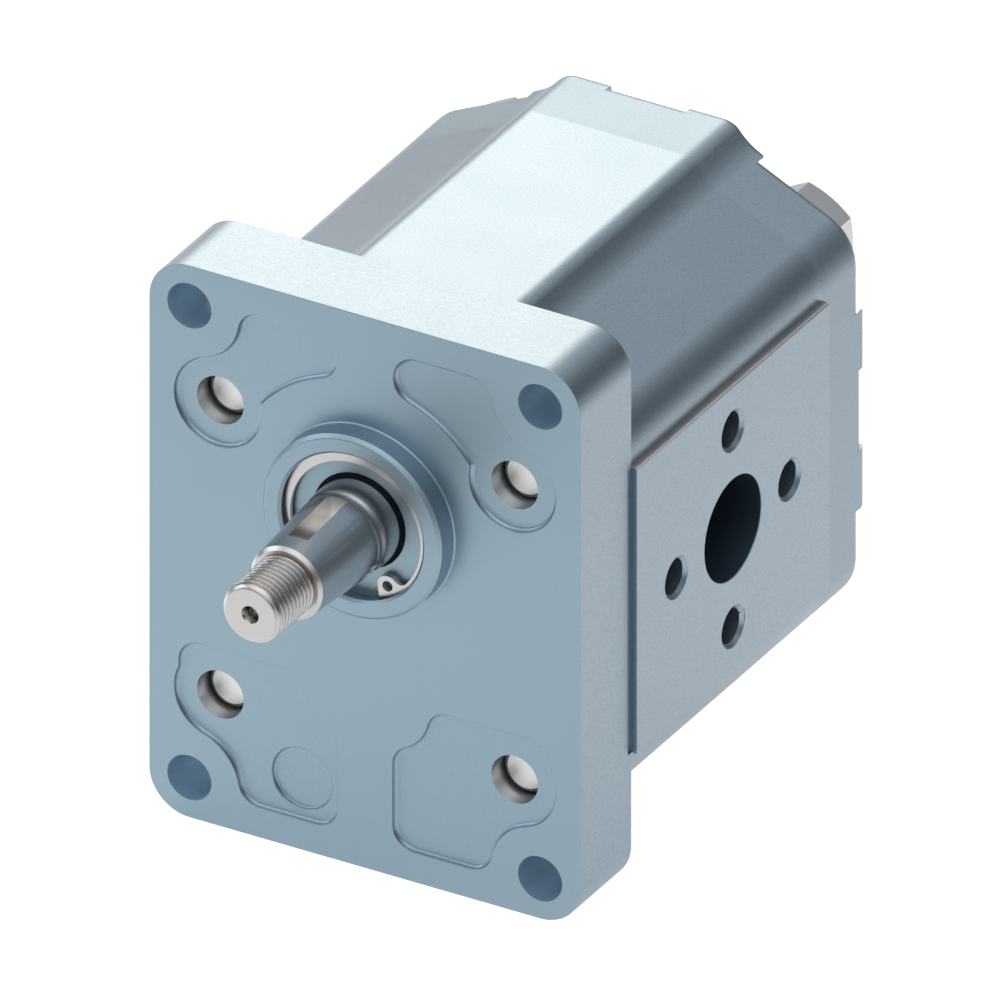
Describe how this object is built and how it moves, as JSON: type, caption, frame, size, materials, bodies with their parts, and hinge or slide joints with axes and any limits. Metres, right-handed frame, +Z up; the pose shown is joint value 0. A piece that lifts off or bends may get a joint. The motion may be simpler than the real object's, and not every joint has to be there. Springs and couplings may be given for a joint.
{
  "type": "hydraulic gear pump",
  "caption": "Hydraulic external gear pump with a rectangular mounting flange, round pilot, tapered keyed drive shaft and side port pads.",
  "frame": {"origin": "on the axis of the drive shaft and pilot, in the front face of the mounting flange", "axes": "+Z up, +Y along the shafts from the flange into the body, +X to the side with the suction port; the drive shaft points to -Y"},
  "size_m": [0.0902, 0.1465, 0.1125],
  "materials": {
    "flange_casting": "fine blasted die casting",
    "housing_extrusion": "fine satin extrusion",
    "cover_casting": "fine blasted die casting",
    "gear_steel": "ground and lapped",
    "block_metal": "machined",
    "liner": "smooth dark liner",
    "seal_rubber": "matt",
    "backup_plastic": "matt",
    "seal_case_steel": "phosphated",
    "spring_steel": "bright",
    "ring_steel": "bright, stamped",
    "bolt_steel": "zinc plated",
    "dowel_steel": "ground"
  },
  "bodies": {
    "housing": {"front_flange": "flange_casting", "gear_housing": "housing_extrusion", "rear_cover": "cover_casting", "front_bushing_block": "block_metal", "rear_bushing_block": "block_metal", "front_drive_bearing": "liner", "front_driven_bearing": "liner", "rear_drive_bearing": "liner", "rear_driven_bearing": "liner", "front_body_seal": "seal_rubber", "rear_body_seal": "seal_rubber", "front_thrust_seal": "seal_rubber", "front_thrust_backup": "backup_plastic", "rear_thrust_seal": "seal_rubber", "rear_thrust_backup": "backup_plastic", "shaft_seal_case": "seal_case_steel", "shaft_seal_lip": "seal_rubber", "shaft_seal_spring": "spring_steel", "retaining_ring": "ring_steel", "tie_bolts": "bolt_steel", "front_dowels": "dowel_steel", "rear_dowels": "dowel_steel"},
    "drive_gear": {"drive_gear_shaft": "gear_steel"},
    "driven_gear": {"driven_gear_shaft": "gear_steel"}
  },
  "joints": [
    {"name": "drive_spin", "type": "hinge", "parent": "housing", "child": "drive_gear", "pos_m": [0, 0.052, 0], "axis": [0, 1, 0], "continuous": true},
    {"name": "driven_spin", "type": "hinge", "parent": "housing", "child": "driven_gear", "pos_m": [0, 0.052, -0.0312], "axis": [0, 1, 0], "continuous": true}
  ],
  "couplings": [
    {"joint": "driven_spin", "follows": "drive_spin", "ratio": -1}
  ]
}
